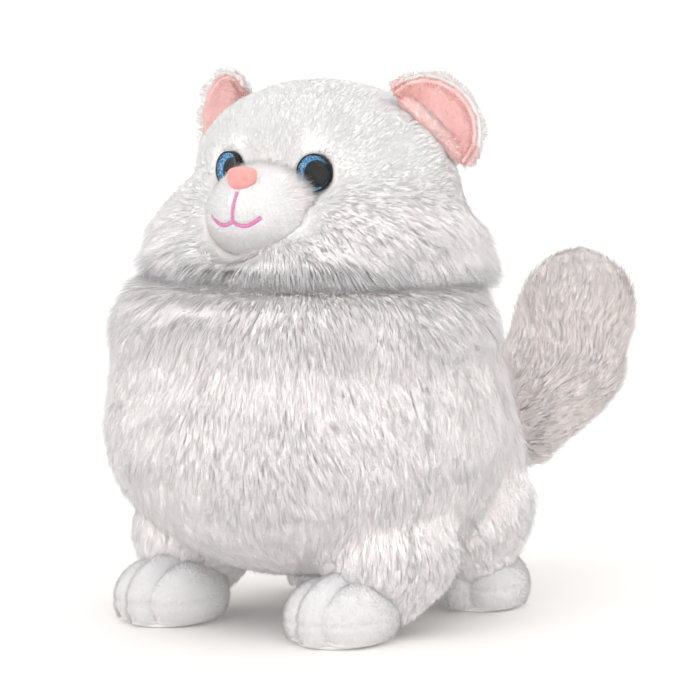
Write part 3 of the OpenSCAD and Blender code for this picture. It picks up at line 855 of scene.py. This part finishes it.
def make_mouth(muzzle):
    tree = surface_of(muzzle)
    bars = []
    for path in mouth_paths():
        way = unit(np.gradient(path, axis=0))
        for (x, z), (dx, dz) in zip(path, way):
            across = np.array([-dz + SATIN_SLANT * dx, dx + SATIN_SLANT * dz]) * SATIN_WIDTH / 2
            line = []
            for share, height in zip(np.linspace(-1, 1, len(BAR_ROUND)), BAR_ROUND):
                start = (x + across[0] * share, IN_FRONT, z + across[1] * share)
                line.append(surface_point(tree, start, (0, 1, 0), 0.5 * MM * height))
            bars.append((line, 0.42 * MM * (0.6 + 0.4 * BAR_ROUND)))
    make_stitches("mouth_embroidery", bars, MOUTH_THREAD, "head", "mouth_thread", "mouth_stitches")


NOSE_HALF = (11.5 * MM, 6.3 * MM)
NOSE_RISE = 2 * MM
NOSE_DOME = 5.2 * MM
NOSE_LIFT = math.radians(24)


def make_nose():
    low, _ = corners("nose_cap")
    pad = coords(NODES["nose_cap"].data)
    pad = pad[pad[:, 1] < low[1] + 6 * MM]
    centre = (pad.min(0) + pad.max(0)) / 2
    out = np.array([0, -math.cos(NOSE_LIFT), math.sin(NOSE_LIFT)])
    up = np.array([0, math.sin(NOSE_LIFT), math.cos(NOSE_LIFT)])
    centre = centre + NOSE_RISE * up
    right = np.array([1.0, 0, 0])
    rings, spokes = 22, 72
    angles = np.linspace(0, 2 * np.pi, spokes, endpoint=False)
    verts = []
    for k in range(rings + 1):
        share = math.sin(math.pi / 2 * k / rings) if k else 0.0
        for angle in angles:
            x = NOSE_HALF[0] * math.copysign(abs(math.cos(angle)) ** 0.85, math.cos(angle))
            y = NOSE_HALF[1] * math.copysign(abs(math.sin(angle)) ** 0.8, math.sin(angle))
            x *= 0.80 + 0.20 * math.sin(angle)
            x, y = x * share, y * share
            height = NOSE_DOME * (1 - share ** 2.6) ** 0.55 if share < 1 else 0.0
            for sign in SIDES.values() if share < 0.97 else ():
                nostril = math.hypot((x - sign * 5 * MM) / (2 * MM), (y + 2.2 * MM) / (1.3 * MM))
                height -= 1.5 * MM * math.exp(-nostril ** 2)
            height -= 0.5 * MM * math.exp(-(x / (0.8 * MM)) ** 2) * smoothstep(1 * MM, -4 * MM, y)
            verts.append(centre + right * x + up * y + out * (height - 2.2 * MM))
    for angle in angles:
        x = NOSE_HALF[0] * 0.7 * math.cos(angle)
        y = NOSE_HALF[1] * 0.7 * math.sin(angle)
        verts.append(centre + right * x + up * y - out * 4.0 * MM)
    faces = [face[::-1] for face in ring_faces(rings + 2, spokes)]
    faces.append(tuple(range(len(verts) - spokes, len(verts))))
    mesh = mesh_from("nose", verts, faces)
    weld(mesh, 0.02 * MM)
    place_piece(add_object("nose", mesh, NOSE), "head", "nose_pink", "nose_cap")


# Eyes

SPOKES = 96                 # round the eyes, the bands and the floor


def turns(spokes):
    """Cosine and sine of each step once round."""
    angles = [2 * math.pi * s / spokes for s in range(spokes)]
    return [(math.cos(angle), math.sin(angle)) for angle in angles]


def lathe(name, profile, place, material):
    """A solid turned round the place's own Z axis from rows of radius and height."""
    verts = [place @ Vector((radius * cos, radius * sin, height))
             for radius, height in profile for cos, sin in turns(SPOKES)]
    mesh = mesh_from(name, verts, ring_faces(len(profile), SPOKES))
    weld(mesh, 0.005 * MM)
    return add_object(name, mesh, material)


PUPIL_R = 7.2 * MM
LENS_H = 4.8 * MM
LENS_EDGE = 1.1 * MM        # height at which the dome starts


def eye_profiles():
    """Radius and height, in rows, of the base, the film, the pupil and the dome."""
    inner = EYE_R - 0.7 * MM
    bed = inner - 0.1 * MM
    rim = [(bed, 0.2 * MM), (inner, 1.2 * MM), (inner + 0.25 * MM, 1.55 * MM),
           (EYE_R - 0.1 * MM, 1.35 * MM), (EYE_R, 0.9 * MM), (EYE_R, -1.2 * MM),
           (EYE_R - 0.4 * MM, -1.6 * MM), (4.4 * MM, -3.9 * MM), (2 * MM, -4.1 * MM),
           (2 * MM, -14 * MM), (1.4 * MM, -15 * MM), (0, -15 * MM), (0, -3.7 * MM),
           (PUPIL_R, -3.5 * MM), (bed, -1.6 * MM), (bed, 0.2 * MM)]
    film = [(bed, 0.6 * MM), (PUPIL_R + 0.5 * MM, -2.1 * MM), (PUPIL_R - 0.6 * MM, -2.5 * MM),
            (0, -2.5 * MM), (0, -3.0 * MM), (PUPIL_R, -3.0 * MM), (bed, -1.2 * MM),
            (bed, 0.6 * MM)]
    dot = [(0, -1.9 * MM), (PUPIL_R * 0.5, -1.92 * MM), (PUPIL_R * 0.93, -2.0 * MM),
           (PUPIL_R, -2.15 * MM), (PUPIL_R * 0.93, -2.4 * MM), (0, -2.4 * MM)]
    edge = inner - 0.15 * MM
    dome = [(r, LENS_EDGE + (LENS_H - LENS_EDGE) * (1 - (r / (edge * 1.02)) ** 2) ** 0.5)
            for r in np.linspace(0, edge, 28)]
    dome += [(edge, 1.05 * MM), (PUPIL_R + 0.8 * MM, -0.35 * MM), (0, -0.38 * MM)]
    return rim, film, dot, dome


def make_eyes():
    rim, film, dot, dome = eye_profiles()
    for side, sign in SIDES.items():
        yaw = EYE_YAW * sign
        out = Vector((math.sin(yaw), -math.cos(yaw), 0))
        across = Vector((math.cos(yaw), math.sin(yaw), 0))
        place = Matrix((across, Vector((0, 0, 1)), out)).transposed().to_4x4()
        place.translation = Vector(EYE_AT[side])
        sunk = place @ Matrix.Translation((0.2 * MM * sign, -0.8 * MM, 0))
        for look, profile, at, material, part, slot in (
                ("rim", rim, place, BLACK, "base", "eye_black"),
                ("film", film, place, GLITTER, "glitter", "eye_glitter"),
                ("dot", dot, sunk, BLACK, "pupil", "eye_black"),
                ("dome", dome, place, CLEAR, "lens", "eye_clear")):
            piece = lathe(f"eye_{side}_{look}", profile, at, material)
            place_piece(piece, "head", slot, f"eye_{side}_{part}")


# Ears

EAR_LEAN = math.radians(45)


def make_ears():
    for side, sign in SIDES.items():
        body = f"ear_{side}"
        hinge = np.array(JOINTS[f"{body}_fold"]["pos_m"])
        lean = EAR_LEAN * sign
        up = np.array([math.sin(lean), 0, math.cos(lean)])
        skin = union(f"{body}_skin", [f"{body}_outer"], 1.6 * MM, 4)
        skin.data.materials.append(BACKING)
        lining = union(f"{body}_pink", [f"{body}_lining"], 1.1 * MM, 3)
        lining.data.materials.append(PINK)
        place_piece(skin, body, "long_pile_white", f"{body}_outer")
        place_piece(lining, body, "ear_lining_pink", f"{body}_lining")
        roots, normals, rng = scatter(skin, 200, 41 + sign)
        rise = (roots - hinge) @ up
        keep = (normals[:, 1] > -0.35) & (rise > -2 * MM)
        roots, normals = roots[keep], normals[keep]
        flow = along_surface((roots - hinge) + up * 6 * MM + [0, 2 * MM, 0], normals)
        length = (6.0 + 1.0 * wobble(roots, 15 * MM, 8)) * MM
        fur(f"{body}_fur", body, roots, normals, flow, length, rng, width=0.4 * MM, lift=0.3)
        roots, normals, rng = scatter(skin, 420, 81 + sign)
        rise = (roots - hinge) @ up
        keep = (normals[:, 1] < -0.3) & (rise > -2 * MM) & (rise < 12 * MM)
        roots, normals = roots[keep], normals[keep]
        flow = along_surface((roots - hinge) + up * 4 * MM, normals)
        fuzz(f"{body}_root_fuzz", body, roots, normals, flow, 4 * MM, rng, width=0.5 * MM,
             materials=(PINK_TIP,), slot="ear_lining_pink")
        roots, normals, rng = scatter(lining, 420, 51 + sign)
        rise = (roots - hinge) @ up
        keep = normals[:, 1] < 0.5
        roots, normals, rise = roots[keep], normals[keep], rise[keep]
        flow = along_surface((roots - hinge) + up * 4 * MM, normals)
        across = np.array([math.cos(lean), 0, -math.sin(lean)])
        inwards = -((roots - hinge) @ across) * sign
        # Towards the fold at the ear's root more blades take the darker pink: painted shade in the
        # fold.
        fold = 0.75 * smoothstep(4 * MM, 20 * MM, inwards) * (1 - smoothstep(4 * MM, 16 * MM, rise))
        fuzz(f"{body}_pink_fuzz", body, roots, normals, flow, 2.6 * MM, rng,
             materials=(PINK_TIP, PINK_SHADED), deep=rng.random(len(roots)) < fold,
             slot="ear_lining_pink")


# Paws

TOE_GAP = 19 * MM
TOE_LINES = (-0.5, 0.5)     # grooves between the toes, in toe gaps from the middle
TOE_IN = 3.4 * MM
TOE_OUT = 2.0 * MM
PAW_SEAM = 13 * MM          # height of the seam round the toes
PAW_FLOOR = 0.2 * MM
PAW_ROUND = 4 * MM          # the underside is flat, with an edge that rounds up to here


def make_paws():
    bars = []
    for (kind, side), (centre, size) in PAWS.items():
        paw = egg_object(f"{kind}_{side}_skin", centre, size - 1.4 * MM, 6, VELBOA)
        points = coords(paw.data)
        normals = unit((points - centre) / (size / 2) ** 2)
        front = smoothstep(0.25, -0.35, (points[:, 1] - centre[1]) / (size[1] / 2))
        push = np.zeros(len(points))
        for line in TOE_LINES:
            away = np.abs(points[:, 0] - centre[0] - line * TOE_GAP * (1 - 0.12 * front))
            push -= TOE_IN * np.exp(-(away / (2.6 * MM)) ** 1.3)
        for toe in (-1, 0, 1):
            away = np.abs(points[:, 0] - centre[0] - toe * TOE_GAP)
            push += TOE_OUT * np.exp(-(away / (7 * MM)) ** 2)
        points = points + normals * (push * front)[:, None]
        seam = 0.9 * MM * np.exp(-((points[:, 2] - PAW_SEAM) / (1.6 * MM)) ** 2)
        points = points - normals * (seam * front)[:, None]
        bend = PAW_ROUND - PAW_FLOOR
        low = np.minimum(points[:, 2], PAW_ROUND)
        points[:, 2] += PAW_FLOOR + bend * np.exp((low - PAW_ROUND) / bend) - low
        set_coords(paw.data, points)
        place_piece(paw, "torso", "short_pile_white", f"{kind}_{side}_cover", fill=0.95)
        roots, out, rng = scatter(paw, 420, 61 + len(bars))
        keep = (out[:, 2] > -0.6) & (roots[:, 1] < centre[1] + 0.8 * size[1] / 2)
        roots, out = roots[keep], out[keep]
        flow = along_surface(roots - (centre + [0, 40 * MM, 30 * MM]), out)
        fuzz(f"{kind}_{side}_fuzz", "torso", roots, out, flow, 2.6 * MM, rng, lean=1.0)
        tree = surface_of(paw)
        for line in TOE_LINES:
            x = centre[0] + line * TOE_GAP * 0.88
            for angle in np.arange(-8, 70, 9.5):
                row = []
                for turn in (math.radians(angle), math.radians(angle + 5.5)):
                    way = Vector((0, math.cos(turn), -math.sin(turn)))
                    far = Vector((x, centre[1], centre[2])) - way * 0.2
                    row.append(surface_point(tree, far, way, 0.35 * MM))
                bars.append((np.linspace(*row, 4), 0.35 * MM * np.array([0.5, 1, 1, 0.5])))
        make_sole(kind, side)
    make_stitches("toe_thread", bars, THREAD, "torso", "white_thread", "toe_stitches")


SOLE_SPOKES = 64
SOLE_EDGE = [(0.0, 0.0), (0.9, 0.0), (0.97, 0.15), (1.0, 0.5), (0.97, 0.85), (0.9, 1.0),
             (0.0, 1.0)]    # share of the width, and of the thickness


def make_sole(kind, side):
    """A flat patch with a rounded edge, seen from below."""
    node = f"{kind}_{side}_sole"
    low, high = corners(node)
    centre, half = (low + high) / 2, (high - low) / 2
    verts = []
    for share, height in SOLE_EDGE:
        for cos, sin in turns(SOLE_SPOKES):
            straight = (half[1] - half[0]) * (1 if sin >= 0 else -1) * min(1, 4 * abs(sin))
            verts.append((centre[0] + share * half[0] * cos,
                          centre[1] + share * (half[0] * sin + straight),
                          low[2] + height * (high[2] - low[2])))
    mesh = mesh_from(node + "_patch", verts, ring_faces(len(SOLE_EDGE), SOLE_SPOKES))
    weld(mesh, 0.01 * MM)
    place_piece(add_object(node + "_patch", mesh, VELBOA), "torso", "short_pile_white", node)


# Tail

TAIL_PATH = TAIL + MM * np.array(
    [[0, -10, -2], [0, 0, 0], [14, 32, 10], [29, 56, 36], [33, 65, 67], [34, 66, 100]])
TAIL_PILE = 4.0 * MM


def tail_way(points):
    """Direction of the tail's own path beside each point."""
    best = np.full(len(points), np.inf)
    way = np.zeros((len(points), 3))
    stretches = zip(TAIL_PATH[:-1], TAIL_PATH[1:])
    fine = np.concatenate([np.linspace(a, b, 9)[:-1] for a, b in stretches])
    steps = unit(np.gradient(fine, axis=0))
    for place, step in zip(fine, steps):
        away = np.linalg.norm(points - place, axis=1)
        closer = away < best
        best[closer] = away[closer]
        way[closer] = step
    return way


def make_tail():
    nodes = ["tail_upper_cover", "tail_lower_cover", "tail_stuffing"]
    skin = union("tail_skin", nodes, 3.5 * MM, 6)
    points = coords(skin.data)
    draw_in(skin, np.full(len(points), TAIL_PILE + ROOM), np.zeros(len(points)))
    stuff(skin, np.full(len(points), PUFF))
    subdivide(skin)
    skin.data.materials.append(BACKING)
    place_piece(skin, "tail", "long_pile_white", *nodes, fill=0.8)
    roots, normals, rng = scatter(skin, 170, 71)
    keep = np.linalg.norm(roots - TAIL, axis=1) > 16 * MM
    roots, normals = roots[keep], normals[keep]
    swirl = 0.3 * wobble(roots, 40 * MM, 9)[:, None] * np.cross(normals, UP)
    flow = along_surface(tail_way(roots) + swirl, normals)
    length = (13.0 + 1.5 * wobble(roots, 25 * MM, 10)) * MM
    # The tail's fur takes its darker copies: painted shade.
    fur("tail_fur", "tail", roots, normals, flow, length, rng, lift=0.42, tip_lift=0.2,
        materials=(TAIL_ROOT_SHADED, TAIL_TIP_SHADED))


# The soft cores and bands that the head and the tail bend on

def make_cores():
    for name, node, body in (("neck_core", "neck_stuffing", "neck"),
                             ("tail_core", "tail_root_stuffing", "tail_root")):
        core = union(name, [node], 2.5 * MM, 2)
        core.data.materials.append(BACKING)
        place_piece(core, body, "stuffing", node, fill=0.7)


BAND_ROWS = 13


def band(name, start, end, radii):
    """A ring of cover from one place to another along a line."""
    start, end = np.array(start), np.array(end)
    axis = unit(end - start)
    across = unit(np.cross(axis, [0.2, 0.9, 0.4] if abs(axis[2]) < 0.5 else [0, 1, 0]))
    other = np.cross(axis, across)
    verts = []
    for t in (k / (BAND_ROWS - 1) for k in range(BAND_ROWS)):
        for s in range(SPOKES):
            angle = 2 * math.pi * s / SPOKES
            crease = (1 + 0.02 * math.sin(math.pi * t)
                      + 0.006 * math.sin(17 * angle + 5 * t) * math.sin(math.pi * t))
            verts.append(start + (end - start) * t
                         + across * radii[0] * crease * math.cos(angle)
                         + other * radii[1] * crease * math.sin(angle))
    mesh = mesh_from(name, verts, ring_faces(BAND_ROWS, SPOKES))
    obj = add_object(name, mesh, BACKING)
    obj.modifiers.new("cloth", "SOLIDIFY").thickness = 1.0 * MM
    settle(obj)
    smooth_faces(obj.data)
    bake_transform(obj)


def make_bands():
    x, y, z = NECK
    band("neck_band_low", (x, y, z - 7 * MM), (x, y, z + 4 * MM),
         (73 * MM, 66 * MM))
    band("neck_band_high", (x, y, z + 3 * MM), (x, y, z + 15 * MM),
         (72 * MM, 65 * MM))
    x, y, z = TAIL
    band("tail_band_near", (x, y - 6 * MM, z), (x, y + 4 * MM, z),
         (17.5 * MM, 17.5 * MM))
    band("tail_band_far", (x, y + 3 * MM, z), (x, y + 13 * MM, z + 1 * MM),
         (17 * MM, 17 * MM))


CLOSING_PITCH = 6 * MM


def make_closing(skin):
    """Ladder stitches over the belly seam, one bar after another."""
    tree = surface_of(skin)
    low, high = corners("closing_stitches")
    bars = []
    for y in np.arange(low[1], high[1] + MM, CLOSING_PITCH):
        line = [surface_point(tree, (x, y, 0), (0, 0, 1), 0.4 * MM)
                for x in np.linspace(low[0], high[0], 6)]
        bars.append((line, 0.5 * MM * np.array([0.4, 1, 1, 1, 1, 0.4])))
    make_stitches("closing_thread", bars, THREAD, "torso", "white_thread", "closing_stitches")


def carry_over():
    """CAD nodes that stay as they are and get a material."""
    looks = {"neck_stitches": THREAD, "nose_washer": WASHER,
             "eye_left_washer": WASHER, "eye_right_washer": WASHER}
    for node, material in looks.items():
        mesh = NODES[node].data
        mesh.materials.clear()
        mesh.materials.append(material)


# Camera, light, floor

CAMERA_TURN = math.radians(36.5)
CAMERA_RISE = math.radians(5.4)
CAMERA_AWAY = 2.0
CAMERA_LENS = 189.8
CAMERA_SENSOR = 36
LOOK_AT = Vector((0, -0.027, 0.1426))
SKY = 0.75                  # strength of the light from all round
# Radius and height of the floor, which turns up into a bowl far away
BACKDROP = [(9.0, 0.0), (10.0, 0.05), (11.0, 0.3), (11.6, 0.9), (12.0, 2.5)]
# Each sun's place (to the right, towards the camera, up), spread in degrees, power and colour
SUNS = {
    "key": ((-0.25, 1.0, 1.1), 60, 0.95, (0.98, 0.985, 1.0)),
    "top": ((0.1, -0.1, 2.0), 90, 0.8, (1.0, 0.99, 0.98)),
}


def make_camera():
    data = bpy.data.cameras.new("camera")
    data.lens = CAMERA_LENS
    data.sensor_width = CAMERA_SENSOR
    camera = bpy.data.objects.new("camera", data)
    bpy.context.scene.collection.objects.link(camera)
    back = Vector((math.sin(CAMERA_TURN) * math.cos(CAMERA_RISE),
                   -math.cos(CAMERA_TURN) * math.cos(CAMERA_RISE), math.sin(CAMERA_RISE)))
    camera.location = LOOK_AT + CAMERA_AWAY * back
    camera.rotation_euler = back.to_track_quat("Z", "Y").to_euler()
    bpy.context.scene.camera = camera


def make_floor():
    verts = [(0, 0, 0)]
    for radius, height in BACKDROP:
        verts += [(radius * cos, radius * sin, height) for cos, sin in turns(SPOKES)]
    faces = [(0, 1 + s, 1 + (s + 1) % SPOKES) for s in range(SPOKES)]
    for a, b, c, d in ring_faces(len(BACKDROP), SPOKES):
        faces.append((1 + a, 1 + d, 1 + c, 1 + b))
    material, _, shader = new_material("floor")
    shader.inputs["Base Color"].default_value = (0.97, 0.95, 0.93, 1)
    shader.inputs["Roughness"].default_value = 0.9
    floor = add_object("floor", mesh_from("floor", verts, faces), material)


def make_lights():
    scene = bpy.context.scene
    world = bpy.data.worlds.new("world")
    world.use_nodes = True
    sky = world.node_tree.nodes["Background"]
    sky.inputs["Color"].default_value = (1.0, 1.0, 1.0, 1)
    sky.inputs["Strength"].default_value = SKY
    scene.world = world
    right = Vector((math.cos(CAMERA_TURN), math.sin(CAMERA_TURN), 0))
    level = Vector((math.sin(CAMERA_TURN), -math.cos(CAMERA_TURN), 0))
    for name, ((sideways, nearer, up), spread, power, colour) in SUNS.items():
        place = sideways * right + nearer * level + Vector((0, 0, up))
        data = bpy.data.lights.new(name, "SUN")
        data.angle = math.radians(spread)
        data.energy = power
        data.color = colour
        lamp = bpy.data.objects.new(name, data)
        scene.collection.objects.link(lamp)
        lamp.location = LOOK_AT + place
        lamp.rotation_euler = place.to_track_quat("Z", "Y").to_euler()
    scene.view_settings.view_transform = "Standard"


make_camera()
make_floor()
make_lights()
body = make_body()
body_fur(body)
head = make_head()
head_fur(head)
muzzle = make_muzzle()
muzzle_fuzz(muzzle)
make_mouth(muzzle)
make_nose()
make_eyes()
make_ears()
make_paws()
make_tail()
make_cores()
make_bands()
make_closing(body)
carry_over()
